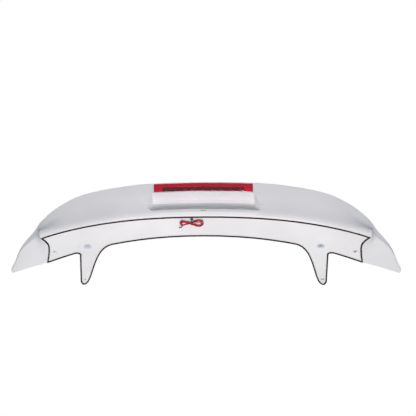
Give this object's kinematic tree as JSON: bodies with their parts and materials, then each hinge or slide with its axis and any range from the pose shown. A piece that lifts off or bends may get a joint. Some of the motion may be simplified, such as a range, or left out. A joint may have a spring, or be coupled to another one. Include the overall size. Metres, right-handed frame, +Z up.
{
  "type": "car rear spoiler",
  "caption": "Lip spoiler for a boot lid, with two fixing legs, end horns, an edge gasket and a built-in brake lamp with its tied lead.",
  "frame": {"origin": "midway between the two middle fixing inserts, at the level where their flanges seat", "axes": "+X across the car to its right, +Y forward, +Z up; the lamp faces -Y and the mounting face looks down"},
  "size_m": [1.344, 0.41, 0.1789],
  "materials": {
    "shell_primer": "pale grey-white primer on moulded ABS, satin",
    "panel_primer": "pale primer on moulded ABS, satin",
    "gasket_foam": "dark brown closed-cell edge gasket",
    "lens_red": "clear red moulded lens, gloss",
    "lamp_black": "black ABS tub",
    "seal_foam": "black foam tape",
    "board_green": "green solder mask",
    "bezel_black": "gloss black ABS",
    "diode": "moulded diode package with a clear face",
    "zinc": "bright zinc plate on steel",
    "grommet_rubber": "grey moulded rubber",
    "lead_red": "red PVC insulation",
    "tie_black": "black nylon"
  },
  "bodies": {
    "root": {"outer_shell": "shell_primer", "base_panel": "panel_primer", "edge_gasket": "gasket_foam", "lamp_lens": "lens_red", "lamp_housing": "lamp_black", "lamp_seal": "seal_foam", "lamp_board": "board_green", "lamp_bezel": "bezel_black", "led_1": "diode", "led_2": "diode", "led_3": "diode", "led_4": "diode", "led_5": "diode", "led_6": "diode", "led_7": "diode", "led_8": "diode", "led_9": "diode", "insert_outer_left": "zinc", "insert_outer_right": "zinc", "insert_mid_left": "zinc", "insert_mid_right": "zinc", "insert_leg_left": "zinc", "insert_leg_right": "zinc", "lead_grommet": "grommet_rubber", "lead_inner": "lead_red", "lead_outer": "lead_red", "lead_hank": "lead_red", "lead_tie": "tie_black"}
  },
  "joints": []
}
